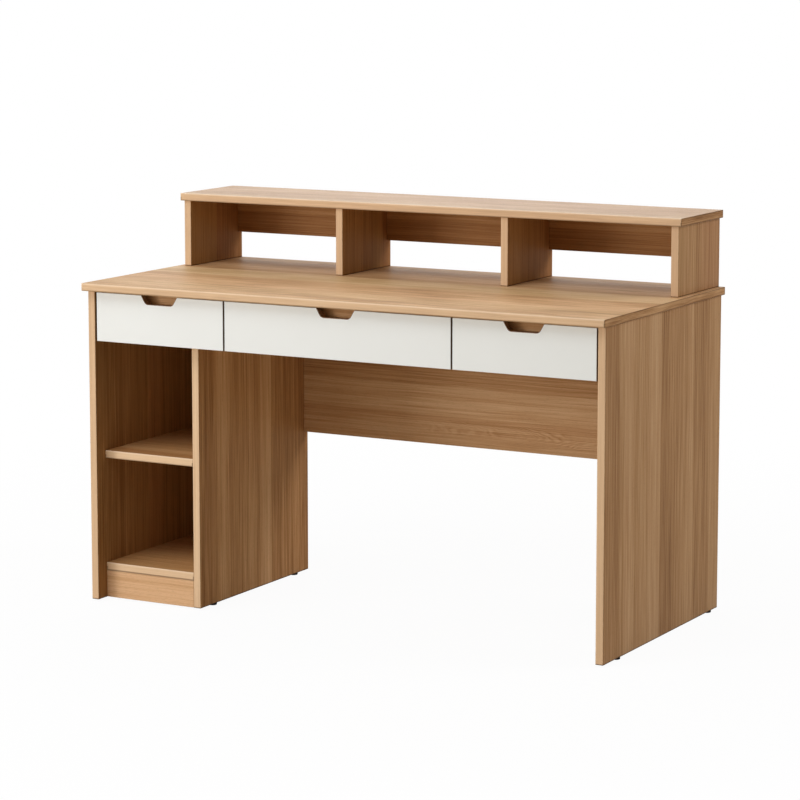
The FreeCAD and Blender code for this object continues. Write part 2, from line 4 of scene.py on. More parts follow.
import bpy
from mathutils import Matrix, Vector


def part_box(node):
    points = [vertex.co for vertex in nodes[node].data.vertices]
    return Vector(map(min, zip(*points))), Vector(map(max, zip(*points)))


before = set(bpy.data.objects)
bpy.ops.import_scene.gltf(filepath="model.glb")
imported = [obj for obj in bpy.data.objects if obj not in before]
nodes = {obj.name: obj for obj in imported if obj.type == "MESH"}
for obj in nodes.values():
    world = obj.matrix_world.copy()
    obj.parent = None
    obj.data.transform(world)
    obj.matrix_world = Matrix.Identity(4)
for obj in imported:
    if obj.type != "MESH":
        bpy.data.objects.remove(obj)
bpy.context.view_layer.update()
print("frame loaded:", len(nodes), "nodes")

alongX, alongY, alongZ = 0, 1, 2
facingCosine = 0.7                   # beyond this a surface counts as facing along an axis


# Small helpers for node trees

def fromScreen(red, green, blue):
    # a colour as read on a screen, 0 to 255, turned into the linear values that shaders use
    linear = []
    for value in (red, green, blue):
        share = value / 255
        linear.append(share / 12.92 if share <= 0.04045 else ((share + 0.055) / 1.055) ** 2.4)
    return (*linear, 1.0)


def addNode(tree, kind, **values):
    node = tree.nodes.new(kind)
    for name, value in values.items():
        setattr(node, name, value)
    return node


def plug(tree, socket, value):
    # a link where value is a socket, else a plain number, vector or colour
    if isinstance(value, bpy.types.NodeSocket):
        tree.links.new(value, socket)
    else:
        socket.default_value = value


def calc(tree, operation, first, second=0.5, third=0.5, clamp=False):
    node = addNode(tree, "ShaderNodeMath", operation=operation, use_clamp=clamp)
    for socket, value in zip(node.inputs, (first, second, third)):
        plug(tree, socket, value)
    return node.outputs[0]


def product(tree, first, *others):
    for other in others:
        first = calc(tree, "MULTIPLY", first, other)
    return first


def opposite(tree, share):
    return calc(tree, "SUBTRACT", 1.0, share)


def swing(tree, pattern, amount):
    # a pattern of 0 to 1 as a swing to both sides of nothing
    return calc(tree, "MULTIPLY", calc(tree, "SUBTRACT", pattern, 0.5), amount)


def weighedSum(tree, first, firstWeight, second, secondWeight):
    part = calc(tree, "MULTIPLY", second, secondWeight)
    return calc(tree, "MULTIPLY_ADD", first, firstWeight, part)


def roughnessAbout(tree, middle, spread, pattern):
    return calc(tree, "MULTIPLY_ADD", pattern, spread, middle - spread / 2)


def blendNumber(tree, share, first, second):
    node = addNode(tree, "ShaderNodeMix", data_type="FLOAT")
    for name, value in (("Factor", share), ("A", first), ("B", second)):
        plug(tree, node.inputs[name], value)
    return node.outputs["Result"]


def blendColour(tree, share, first, second, mode="MIX"):
    # each colour is a socket, three numbers as read on a screen, or four linear ones
    node = addNode(tree, "ShaderNodeMix", data_type="RGBA", blend_type=mode)
    plug(tree, node.inputs["Factor"], share)
    colours = [socket for socket in node.inputs if socket.type == "RGBA"]
    for socket, colour in zip(colours, (first, second)):
        onScreen = isinstance(colour, tuple) and len(colour) == 3
        plug(tree, socket, fromScreen(*colour) if onScreen else colour)
    return next(socket for socket in node.outputs if socket.type == "RGBA")


def combine(tree, x, y, z):
    node = addNode(tree, "ShaderNodeCombineXYZ")
    for socket, value in zip(node.inputs, (x, y, z)):
        plug(tree, socket, value)
    return node.outputs[0]


def separate(tree, vector):
    node = addNode(tree, "ShaderNodeSeparateXYZ")
    tree.links.new(vector, node.inputs[0])
    return list(node.outputs)


def surfacePlace(tree):
    return addNode(tree, "ShaderNodeTexCoord").outputs["Object"]


def placeAndFacing(tree):
    # where a point of the surface lies and which way it faces, each as x, y and z
    source = addNode(tree, "ShaderNodeTexCoord")
    return separate(tree, source.outputs["Object"]), separate(tree, source.outputs["Normal"])


def spotOnGrain(tree, operation, along, across, amounts, seed):
    # a place in the noise: along and across the grain, each times or over its own amount
    parts = [calc(tree, operation, part, amount) for part, amount in zip((along, across), amounts)]
    return combine(tree, *parts, seed)


def scaledPlace(tree, place, scales):
    parts = [calc(tree, "MULTIPLY", part, scale) for part, scale in zip(place, scales)]
    return combine(tree, *parts)


def noise(tree, vector, scale=1.0, detail=2.0, roughness=0.5, distortion=0.0):
    node = addNode(tree, "ShaderNodeTexNoise")
    plug(tree, node.inputs["Vector"], vector)
    for name, value in (
        ("Scale", scale), ("Detail", detail), ("Roughness", roughness), ("Distortion", distortion)
    ):
        node.inputs[name].default_value = value
    return node.outputs["Fac"]


def colourSteps(tree, share, stops):
    node = addNode(tree, "ShaderNodeValToRGB")
    steps = node.color_ramp
    while len(steps.elements) < len(stops):
        steps.elements.new(1.0)
    for element, (position, colour) in zip(steps.elements, stops):
        element.position = position
        element.color = colour
    plug(tree, node.inputs[0], share)
    return node.outputs["Color"]


def threshold(tree, value, low, high):
    node = addNode(tree, "ShaderNodeMapRange", interpolation_type="SMOOTHSTEP", clamp=True)
    for name, number in (("Value", value), ("From Min", low), ("From Max", high)):
        plug(tree, node.inputs[name], number)
    return node.outputs["Result"]


def fadeOut(tree, distance, reach):
    # 1 at no distance, 0 from reach on
    return opposite(tree, threshold(tree, distance, 0.0, reach))


def newMaterial(name):
    material = bpy.data.materials.new(name)
    material.use_nodes = True
    material.node_tree.nodes.clear()
    return material, material.node_tree


def finishMaterial(
    tree, colour, roughness, height, bumpDistance, specular=0.5, metallic=0.0, softArris=0.0
):
    # the shader itself, with fine relief and, where softArris is a radius, eased arrises
    shader = addNode(tree, "ShaderNodeBsdfPrincipled")
    for name, value in (
        ("Base Color", colour), ("Roughness", roughness),
        ("Specular IOR Level", specular), ("Metallic", metallic),
    ):
        plug(tree, shader.inputs[name], value)
    bump = addNode(tree, "ShaderNodeBump")
    bump.inputs["Distance"].default_value = bumpDistance
    tree.links.new(height, bump.inputs["Height"])
    tree.links.new(bump.outputs[0], shader.inputs["Normal"])
    if softArris:
        bevel = addNode(tree, "ShaderNodeBevel", samples=boardEdge["arrisSamples"])
        bevel.inputs["Radius"].default_value = softArris
        tree.links.new(bevel.outputs[0], bump.inputs["Normal"])
    output = addNode(tree, "ShaderNodeOutputMaterial")
    tree.links.new(shader.outputs[0], output.inputs["Surface"])


def measureBoard(name, grain):
    # a board's low and high corners, its size, and which axes are its thickness and its width
    low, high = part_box(name)
    size = high - low
    thin = min(range(3), key=lambda axis: size[axis])
    return low, high, size, thin, 3 - grain - thin


def dress(names, material):
    for name in names:
        slots = nodes[name].data.materials
        if not slots:
            slots.append(material)
        for index in range(len(slots)):
            slots[index] = material


# Oak laminate: strips side by side, each with its own straight grain

oakLook = {
    "dark": (129, 91, 53),           # deepest grain lines
    "brown": (164, 125, 83),
    "tan": (191, 153, 109),          # the general tone
    "light": (220, 190, 150),        # palest streaks
    "brownAt": 0.26,                 # tone, 0 to 1, that each middle colour stands for
    "tanAt": 0.52,
    "pink": (199, 148, 111),         # hue that some strips lean to
    "olive": (182, 152, 102),        # and the other way
    "hueShare": 0.26,
    "waver": 0.006,                  # how far a grain line wanders, m
    "waverScales": (2.6, 7.0),       # how soon it turns, along and across the grain
    "waverDetail": 1.0,
    "streaks": (                     # width and length of the streaks in m, detail and contrast
        (0.060, 1.50, 4.0, 0.24),
        (0.013, 0.70, 3.0, 0.28),
        (0.0044, 0.40, 3.0, 0.46),
        (0.0014, 0.13, 2.0, 0.54),
    ),
    "cloud": (0.070, 0.55, 1.0, 0.26),    # the same for broad light and dark patches
    "stripContrast": 0.25,
    "archPitch": 0.0046,             # spacing of the nested arches, m
    "archContrast": 0.20,
    "archReach": 0.045,              # how far they show on both sides of their line, m
    "archBend": 34.0,                # how sharply they turn at it
    "archLean": 0.16,                # how soon one follows the next along the grain
    "archRipple": 0.022,             # how unevenly they run
    "rippleScales": (16.0, 50.0),
    "rippleDetail": 2.0,
    "archPatches": (0.3, 0.7),       # ripple at which they are gone, and whole
    "poreSize": (0.009, 0.00075),    # length and width, m
    "poreLevels": (0.66, 0.76),      # noise at which a pore starts, and is whole
    "poreDepth": 0.24,
    "roughness": 0.47,
    "roughSpread": 0.10,             # how far it varies in all
    "poreRough": 0.1,
    "fineRelief": 0.5,               # shares of the two finest streaks and the pores in the relief
    "hairRelief": 0.35,
    "poreRelief": 0.4,
    "bump": 0.00012,
    "streakStep": 1000,              # keeps streaks of different widths apart in the noise
    "boardStep": 3.7,                # the same for the boards,
    "edgeStep": 11.0,                # a board's edges,
    "depthStep": 30.0,               # and its two faces
}
stripLook = {
    "widths": (0.5, 1.7),            # narrowest and widest strip, in mean widths
    "passings": (0.0, 0.25, 0.6),    # share of a strip over which it passes into the next
    "lightness": 0.8,                # how far strips differ, of 1
    "hue": 1.0,
    "gap": 0.001,                    # least share of the width between two strips
}


def drawnOut(tree, along, across, seed, width, length, detail):
    # noise with marks about that wide and long
    ownSeed = calc(tree, "ADD", seed, width * oakLook["streakStep"])
    spot = spotOnGrain(tree, "DIVIDE", along, across, (length, width), ownSeed)
    return noise(tree, spot, detail=detail)


def makeOakFigure():
    # one group for every oak board: position along and across the grain in, colour out
    group = bpy.data.node_groups.new("oakFigure", "ShaderNodeTree")
    for name in (
        "Along", "Across", "Seed", "Strip", "Hue", "Arch", "ArchAcross", "Shade", "Figure", "Cloud",
    ):
        group.interface.new_socket(name, in_out="INPUT", socket_type="NodeSocketFloat")
    for name, kind in (("Color", "Color"), ("Roughness", "Float"), ("Height", "Float")):
        group.interface.new_socket(name, in_out="OUTPUT", socket_type="NodeSocket" + kind)
    given = addNode(group, "NodeGroupInput").outputs
    along, across, seed = given["Along"], given["Across"], given["Seed"]

    spot = spotOnGrain(group, "MULTIPLY", along, across, oakLook["waverScales"], seed)
    wander = noise(group, spot, detail=oakLook["waverDetail"])
    wander = swing(group, wander, oakLook["waver"])
    wandering = calc(group, "ADD", across, wander)

    # streaks: noise that is drawn out along the grain, in several widths
    tone = calc(group, "MULTIPLY", given["Strip"], oakLook["stripContrast"])
    patterns = []
    for width, length, detail, contrast in oakLook["streaks"]:
        pattern = drawnOut(group, along, wandering, seed, width, length, detail)
        tone = calc(group, "ADD", tone, swing(group, pattern, contrast * 2))
        patterns.append(pattern)
    fine, hair = patterns[-2:]
    width, length, detail, contrast = oakLook["cloud"]
    cloud = drawnOut(group, along, wandering, seed, width, length, detail)
    cloud = calc(group, "MULTIPLY", swing(group, cloud, contrast * 2), given["Cloud"])
    tone = calc(group, "ADD", tone, cloud)
    tone = calc(group, "MULTIPLY_ADD", tone, given["Figure"], 0.5)

    # growth rings cut at a slant: nested arches about one line of the board
    offset = calc(group, "ADD", given["ArchAcross"], wander)
    spot = spotOnGrain(group, "MULTIPLY", along, across, oakLook["rippleScales"], seed)
    ripple = noise(group, spot, detail=oakLook["rippleDetail"])
    phase = product(group, offset, offset, oakLook["archBend"])
    phase = calc(group, "ADD", phase, calc(group, "MULTIPLY", along, oakLook["archLean"]))
    phase = calc(group, "ADD", phase, calc(group, "MULTIPLY", ripple, oakLook["archRipple"]))
    rings = calc(group, "SINE", calc(group, "MULTIPLY", phase, 2 * math.pi / oakLook["archPitch"]))
    near = calc(group, "DIVIDE", offset, oakLook["archReach"])
    near = calc(group, "EXPONENT", product(group, near, near, -1.0))
    patchy = threshold(group, ripple, *oakLook["archPatches"])
    rings = product(group, rings, near, patchy, given["Arch"])
    tone = calc(group, "ADD", tone, calc(group, "MULTIPLY", rings, oakLook["archContrast"]))

    brownAt, tanAt = oakLook["brownAt"], oakLook["tanAt"]
    stops = (("dark", 0.0), ("brown", brownAt), ("tan", tanAt), ("light", 1.0))
    colour = colourSteps(
        group,
        calc(group, "ADD", tone, given["Shade"], clamp=True),
        [(position, fromScreen(*oakLook[name])) for name, position in stops],
    )
    for name, sign in (("pink", 1), ("olive", -1)):
        share = calc(group, "MULTIPLY", given["Hue"], sign * oakLook["hueShare"], clamp=True)
        colour = blendColour(group, share, colour, oakLook[name])

    # open pores: short dark dashes along the grain
    spot = spotOnGrain(group, "DIVIDE", along, wandering, oakLook["poreSize"], seed)
    pores = threshold(group, noise(group, spot, detail=0.0), *oakLook["poreLevels"])
    poreShade = calc(group, "MULTIPLY", pores, oakLook["poreDepth"])
    colour = blendColour(group, poreShade, colour, oakLook["dark"])

    height = weighedSum(group, fine, oakLook["fineRelief"], hair, oakLook["hairRelief"])
    height = calc(group, "SUBTRACT", height, calc(group, "MULTIPLY", pores, oakLook["poreRelief"]))
    roughness = roughnessAbout(group, 0.0, oakLook["roughSpread"], fine)
    roughness = calc(group, "ADD", roughness, calc(group, "MULTIPLY", pores, oakLook["poreRough"]))
    handed = addNode(group, "NodeGroupOutput").inputs
    for name, value in (("Color", colour), ("Roughness", roughness), ("Height", height)):
        plug(group, handed[name], value)
    return group


oakFigure = makeOakFigure()


def chosenStrips(span, seed, meanWidth):
    # the strips of one board: where each begins and ends, how light it is, which hue it leans to
    dice = random.Random(seed)
    strips = []
    place = 0.0
    while place < span:
        width = meanWidth * dice.uniform(*stripLook["widths"])
        end = place + width - width * dice.choice(stripLook["passings"])
        lightness = dice.uniform(-stripLook["lightness"], stripLook["lightness"])
        hue = dice.uniform(-stripLook["hue"], stripLook["hue"])
        strips.append((place, end, lightness, hue))
        place += width
    return strips


def stripStops(strips, span):
    # lightness and hue of the strips, -1 to 1, held in the red and green of colour steps
    stops = []
    for start, end, lightness, hue in strips:
        coded = (lightness / 2 + 0.5, hue / 2 + 0.5, 0.0, 1.0)
        stops.append((start / span, coded))
        stops.append((min(end / span, 1.0) - stripLook["gap"], coded))
    return stops


def depthsInside(tree, place, low, high):
    # how far a point of the board lies inside it along each axis
    depths = []
    for axis in range(3):
        fromLow = calc(tree, "SUBTRACT", place[axis], low[axis])
        fromHigh = calc(tree, "SUBTRACT", high[axis], place[axis])
        depths.append(calc(tree, "MINIMUM", fromLow, fromHigh))
    return depths


def nearestArris(tree, depths):
    # how far a surface point is from the board's nearest arris: the middle one of its depths
    x, y, z = depths
    smaller = calc(tree, "MINIMUM", x, y)
    larger = calc(tree, "MAXIMUM", x, y)
    return calc(tree, "MAXIMUM", smaller, calc(tree, "MINIMUM", larger, z))


boardEdge = {
    "band": 0.0010,                  # thickness of the banding on the edges
    "seam": 0.0006,                  # the fine line where band and face meet, a joint darkened further as painted shade at the arris
    "seamShade": 0.6,                # on uprights
    "paintedHighlight": 0.0040,                # how far the painted highlight along a flat board's top arris reaches
    # colour of the painted highlight
    "rub": (250, 226, 196),
    "highlightShare": 0.8,
    "underShade": 0.6,               # painted shade on its lower arris, and on both arrises of its ends
    "softArris": 0.0030,             # radius that the arrises are eased by
    "arrisSamples": 6,
    "footLine": 0.0032,              # painted shade: a dark line where an upright stands on something
    "footShade": 0.9,
    "gloss": 0.04,
    "endShade": -0.16,               # cross-cut ends are darker, as painted shade
    # colour of the painted shade lines at the arrises and feet
    "foot": (70, 44, 24),
    "pale": (243, 210, 174),         # the banding is a little paler and pinker than the faces, partly its own tone and partly painted light
    "paleShare": 0.55,
}


def makeOak(
    name, seed, grain, strips=None, meanWidth=0.07, shade=0.0, bandShade=0.0, topShade=0.0,
    tint=(1.0, 1.0, 1.0), figure=1.0, reach=1.0, cloud=0.0, gloss=boardEdge["gloss"],
    arch=0.0, archAt=0.5, archFrom=None,
):
    # oak laminate for one board, the grain along axis number grain. strips holds start and end
    # in m, lightness and hue of each strip; without it they are drawn, about meanWidth wide.
    # shade makes the board lighter and bandShade its edges, and tint multiplies the colour of its
    # faces, all used for painted light and shade; topShade is the strength of a painted shadow
    # line along its top. figure is the grain's contrast, reach how far it is drawn out, cloud
    # the strength of the patches. Nested arches of strength arch lie about share archAt of the
    # width and fade in over the stretch archFrom
    low, high, size, thin, wide = measureBoard(name, grain)
    material, tree = newMaterial("oak_" + name)
    place, facing = placeAndFacing(tree)
    facing = [calc(tree, "ABSOLUTE", part) for part in facing]
    onEdge = calc(tree, "LESS_THAN", facing[thin], facingCosine)
    onFace = opposite(tree, onEdge)
    onEnd = calc(tree, "GREATER_THAN", facing[grain], facingCosine)
    along = calc(tree, "DIVIDE", blendNumber(tree, onEnd, place[grain], place[wide]), reach)
    acrossFace = calc(tree, "SUBTRACT", place[wide], low[wide])
    acrossEdge = calc(tree, "SUBTRACT", place[thin], low[thin])
    across = blendNumber(tree, onEdge, acrossFace, acrossEdge)

    if strips is None:
        strips = chosenStrips(size[wide], seed, meanWidth)
    share = calc(tree, "DIVIDE", acrossFace, size[wide])
    coded = addNode(tree, "ShaderNodeSeparateColor")
    tree.links.new(colourSteps(tree, share, stripStops(strips, size[wide])), coded.inputs[0])
    lightness, hue = [
        calc(tree, "MULTIPLY", calc(tree, "MULTIPLY_ADD", part, 2.0, -1.0), onFace)
        for part in coded.outputs[:2]
    ]
    ownSeed = calc(tree, "MULTIPLY_ADD", onEdge, oakLook["edgeStep"], seed * oakLook["boardStep"])
    ownSeed = calc(tree, "MULTIPLY_ADD", place[thin], oakLook["depthStep"], ownSeed)

    arches = calc(tree, "MULTIPLY", onFace, arch)
    if archFrom:
        arches = calc(tree, "MULTIPLY", arches, threshold(tree, place[grain], *archFrom))
    shades = calc(tree, "MULTIPLY_ADD", onEdge, bandShade, shade)
    board = addNode(tree, "ShaderNodeGroup", node_tree=oakFigure)
    for socket, value in (
        ("Along", along), ("Across", across), ("Seed", ownSeed),
        ("Strip", lightness), ("Hue", hue), ("Figure", figure), ("Cloud", cloud),
        ("Arch", arches), ("ArchAcross", calc(tree, "SUBTRACT", acrossFace, archAt * size[wide])),
        ("Shade", calc(tree, "MULTIPLY_ADD", onEnd, boardEdge["endShade"], shades)),
    ):
        plug(tree, board.inputs[socket], value)

    # the banding's paler tone: partly its own, partly painted light
    banding = product(tree, onEdge, opposite(tree, onEnd), boardEdge["paleShare"])
    colour = blendColour(tree, onFace, board.outputs["Color"], (*tint, 1.0), "MULTIPLY")
    colour = blendColour(tree, banding, colour, boardEdge["pale"])
    depths = depthsInside(tree, place, low, high)
    distance = nearestArris(tree, depths)
    height = board.outputs["Height"]
    roughness = calc(tree, "ADD", board.outputs["Roughness"], oakLook["roughness"])
    # a fine line where band and face meet on uprights: partly a joint, partly painted shade
    if grain == alongZ:
        offSeam = calc(tree, "ABSOLUTE", calc(tree, "SUBTRACT", distance, boardEdge["band"]))
        seam = fadeOut(tree, offSeam, boardEdge["seam"])
        seam = calc(tree, "MULTIPLY", seam, calc(tree, "MULTIPLY", onFace, boardEdge["seamShade"]))
        colour = blendColour(tree, seam, colour, oakLook["dark"])
        height = calc(tree, "SUBTRACT", height, seam)
    if thin == alongZ:
        # painted highlight along the long top arrises of a flat board, painted shade on its other
        # arrises
        arris = fadeOut(tree, distance, boardEdge["paintedHighlight"])
        fromLong = calc(tree, "MAXIMUM", depths[thin], depths[wide])
        longArris = fadeOut(tree, fromLong, boardEdge["paintedHighlight"])
        above = calc(tree, "GREATER_THAN", place[alongZ], (low[alongZ] + high[alongZ]) / 2)
        pale = calc(tree, "MULTIPLY", above, opposite(tree, onEnd))
        # painted shade on the lower arrises and on the ends' arrises
        paintedArrisShade = product(tree, opposite(tree, pale), onEdge, arris, boardEdge["underShade"])
        colour = blendColour(tree, paintedArrisShade, colour, boardEdge["foot"])
        # painted highlight along the top arris
        paintedHighlight = product(tree, pale, longArris, boardEdge["highlightShare"])
        colour = blendColour(tree, paintedHighlight, colour, boardEdge["rub"])
    # painted shade: a dark line where an upright stands, or along the top of a board that tucks
    # under another
    if grain == alongZ or topShade:
        if topShade:
            fromLine = calc(tree, "SUBTRACT", high[alongZ], place[alongZ])
        else:
            fromLine = calc(tree, "SUBTRACT", place[alongZ], low[alongZ])
        line = fadeOut(tree, fromLine, boardEdge["footLine"])
        line = calc(tree, "MULTIPLY", line, topShade or boardEdge["footShade"])
        colour = blendColour(tree, line, colour, boardEdge["foot"])
    sheen = gloss
    if gloss != boardEdge["gloss"]:
        # the faces only, as the edges keep their own
        sheen = calc(tree, "MULTIPLY_ADD", onFace, gloss - boardEdge["gloss"], boardEdge["gloss"])
    finishMaterial(
        tree, colour, roughness, height, oakLook["bump"], specular=sheen,
        softArris=boardEdge["softArris"],
    )
    return material


# painted light and shade: the shade, bandShade and tint of each board below stand in for how much
# light reaches it, darker, most of them warmer, for boards in shade in the pedestal, the hutch and
# the side panels, less saturated on the desktop and hutch top as a painted sheen, lighter on the
# plinth, the modesty panel, the box fronts and the edges of the divider and shelves
hutchUpright = dict(
    grain=alongZ, shade=-0.12, bandShade=0.1, tint=(0.95, 0.86, 0.73), figure=0.7,
)
hutchRail = dict(
    grain=alongX, shade=-0.05, tint=(0.92, 0.80, 0.66), figure=0.6,
    strips=((0.0, 0.050, -0.9, 0.5), (0.055, 0.061, 1.0, 0.3), (0.064, 0.094, 0.2, 0.2)),
)
boxFront = dict(
    grain=alongX, shade=0.12, tint=(1.0, 0.88, 0.76), strips=((0.0, 0.095, 0.2, 0.7),),
)
boards = {
    "desktop": dict(
        grain=alongX, meanWidth=0.09, tint=(1.25, 1.29, 1.34), figure=0.85, reach=0.38,
        cloud=1.4, gloss=0.10,
    ),
    "left_side_panel": dict(
        grain=alongZ, shade=-0.16, bandShade=0.16, tint=(0.92, 0.84, 0.72), figure=0.7,
    ),
    "right_side_panel": dict(
        grain=alongZ, tint=(0.87, 0.865, 0.865), figure=0.85,
        strips=(
            (0.0, 0.060, -0.4, 0.1), (0.085, 0.095, 0.0, 0.0), (0.110, 0.135, 0.75, 0.3),
            (0.155, 0.215, 0.2, 0.0), (0.240, 0.290, 0.7, 0.2), (0.292, 0.325, -1.0, 0.0),
            (0.345, 0.385, -0.65, 0.0), (0.395, 0.430, -0.25, 0.0), (0.446, 0.466, 0.6, 0.1),
            (0.478, 0.510, -0.4, -0.1), (0.520, 0.545, -0.65, 0.0), (0.575, 0.624, 0.1, -0.1),
        ),
    ),
    "pedestal_divider": dict(
        grain=alongZ, bandShade=0.3, tint=(1.09, 1.04, 0.98),
        strips=(
            (0.0, 0.055, -0.45, 0.1), (0.085, 0.122, 0.5, 0.1), (0.140, 0.215, -0.1, 0.0),
            (0.225, 0.258, 0.2, 0.0), (0.270, 0.316, 1.0, 0.1), (0.318, 0.410, -0.65, -0.1),
            (0.415, 0.440, -0.4, 0.0), (0.450, 0.488, -0.7, 0.0),
        ),
    ),
    "plinth": dict(
        grain=alongX, shade=0.34, topShade=0.45, tint=(1.12, 1.06, 1.03),
        strips=((0.0, 0.064, 0.3, 0.9),),
    ),
    "pedestal_back_panel": dict(grain=alongZ, shade=-0.1, tint=(1.0, 0.95, 0.88), figure=0.7),
    "bottom_shelf": dict(
        grain=alongX, shade=0.15, bandShade=0.22, tint=(1.02, 0.88, 0.74), figure=0.8,
    ),
    "middle_shelf": dict(
        grain=alongX, shade=0.08, bandShade=0.42, tint=(0.98, 0.84, 0.68), figure=0.8,
    ),
    "modesty_panel": dict(
        grain=alongX, shade=0.2, tint=(1.0, 0.95, 0.92), figure=0.9,
        arch=1.0, archAt=0.14, archFrom=(-0.15, 0.15),
        strips=(
            (0.0, 0.050, -0.1, 0.6), (0.055, 0.066, -0.4, 0.6), (0.069, 0.085, 0.0, 0.4),
            (0.095, 0.128, 0.3, 0.3), (0.132, 0.137, 0.9, 0.3), (0.141, 0.269, -0.85, 0.3),
        ),
    ),
    "drawer_deck": dict(grain=alongX),
    "drawer_bay_back": dict(grain=alongX),
    "left_drawer_partition": dict(grain=alongY),
    "right_drawer_partition": dict(grain=alongY),
    "hutch_top": dict(
        grain=alongX, tint=(0.95, 0.985, 1.0), figure=0.85, reach=0.38, cloud=1.0, gloss=0.5,
    ),
    "hutch_left_side": hutchUpright,
    "hutch_partition_1": hutchUpright,
    "hutch_partition_2": hutchUpright,
    "hutch_right_side": dict(grain=alongZ, shade=-0.08, tint=(0.87, 0.865, 0.865), figure=0.7),
    "hutch_rail_1": hutchRail,
    "hutch_rail_2": hutchRail,
    "hutch_rail_3": hutchRail,
    "left_drawer_box_front": boxFront,
    "centre_drawer_box_front": boxFront,
    "right_drawer_box_front": boxFront,
}
for number, (name, values) in enumerate(boards.items()):
    dress([name], makeOak(name, number + 1, **values))
print("oak boards dressed:", len(boards))


# White drawer fronts

frontLook = {
    "white": (235, 239, 237),
    "warm": (230, 232, 228),         # faint cloudiness
    "cloud": 0.5,
    "clouding": (7.0, 3.0),          # scale and detail of the clouds,
    "pebble": (900.0, 1.0),          # of the film's pebbled grain
    "fibres": (320.0, 2.0),          # and of the banding's fibres
    "seedStep": 5.3,                 # keeps the three fronts apart in the noise
    "roughness": 0.42,
    "roughSpread": 0.12,
    "gloss": 0.45,
    "bump": 0.00004,
    "banding": (112, 82, 56),        # the edges are banded in oak, as in the notch, the sides darkened as painted shade for the gaps
    "bandingShaded": (72, 52, 36),
    "bandingTop": (168, 130, 92),    # the top edge is paler
    "leastBanding": 0.5,             # least share of the paler tone in the banding
    "edgeCosine": 0.5,               # facing forward less than this is an edge
}


def makeWhiteFront(name, seed):
    material, tree = newMaterial("white_" + name)
    place, facing = placeAndFacing(tree)
    ownHeight = calc(tree, "ADD", place[alongZ], seed * frontLook["seedStep"])
    spot = combine(tree, place[alongX], place[alongY], ownHeight)
    cloud = noise(tree, spot, *frontLook["clouding"])
    pebble = noise(tree, spot, *frontLook["pebble"])
    share = calc(tree, "MULTIPLY", cloud, frontLook["cloud"])
    colour = blendColour(tree, share, frontLook["white"], frontLook["warm"])
    forward = calc(tree, "ABSOLUTE", facing[alongY])
    onEdge = calc(tree, "LESS_THAN", forward, frontLook["edgeCosine"])
    onTop = calc(tree, "GREATER_THAN", facing[alongZ], facingCosine)
    least = frontLook["leastBanding"]
    fibres = noise(tree, spot, *frontLook["fibres"])
    fibres = calc(tree, "MULTIPLY_ADD", fibres, 1 - least, least)
    # oak banding on the sides of the fronts, dark as painted shade in the gaps between them
    banding = blendColour(tree, fibres, frontLook["bandingShaded"], frontLook["banding"])
    topShare = calc(tree, "MULTIPLY", onTop, fibres)
    banding = blendColour(tree, topShare, banding, frontLook["bandingTop"])
    colour = blendColour(tree, onEdge, colour, banding)
    roughness = roughnessAbout(tree, frontLook["roughness"], frontLook["roughSpread"], cloud)
    finishMaterial(
        tree, colour, roughness, pebble, frontLook["bump"], specular=frontLook["gloss"]
    )
    return material


drawers = ("left", "centre", "right")
for number, drawer in enumerate(drawers):
    front = drawer + "_drawer_front"
    dress([front], makeWhiteFront(front, number + 1))
print("white fronts dressed")


# Banding in the handle notches

notchLook = {
    "deep": (112, 82, 56),
    "pale": (150, 114, 80),
    "fibres": (260.0, 900.0, 260.0),    # how fine they are along x, y and z
    "detail": 2.0,
    "roughness": 0.5,
    "bump": 0.00008,
}


def makeNotchBand():
    material, tree = newMaterial("notch_band")
    place = separate(tree, surfacePlace(tree))
    grain = noise(
        tree, scaledPlace(tree, place, notchLook["fibres"]), detail=notchLook["detail"]
    )
    colour = blendColour(tree, grain, notchLook["deep"], notchLook["pale"])
    finishMaterial(tree, colour, notchLook["roughness"], grain, notchLook["bump"])
    return material


dress([drawer + "_drawer_notch_band" for drawer in drawers], makeNotchBand())


# Pale boards of the drawer boxes

boxLook = {
    "pale": (222, 200, 166),
    "deep": (192, 162, 122),
    "plyLight": (214, 190, 152),
    "plyDark": (160, 124, 84),
    "plies": 7,
    "plyBlur": 0.25,                 # how softly one layer passes into the next
    "figureScales": (3.0, 48.0),     # the broad figure, along and across the grain
    "figureNoise": dict(detail=4.0, roughness=0.6, distortion=0.4),
    "figureStep": 2.9,               # keeps the boards apart in the noise
    "hairScales": (40.0, 900.0),     # the same for the fine hairs
    "hairDetail": 2.0,
    "hairStep": 1.7,
    "faceWeights": (0.45, 1.2, -0.35),    # hairs, figure and base of a face's paleness
    "edgeWeights": (0.4, 0.7, -0.1),      # hairs, layers and base of an edge's
    "hairRelief": 0.6,
    "figureRelief": 0.4,
    "roughness": 0.55,
    "roughSpread": 0.12,
    "gloss": 0.35,
    "bump": 0.00010,
}


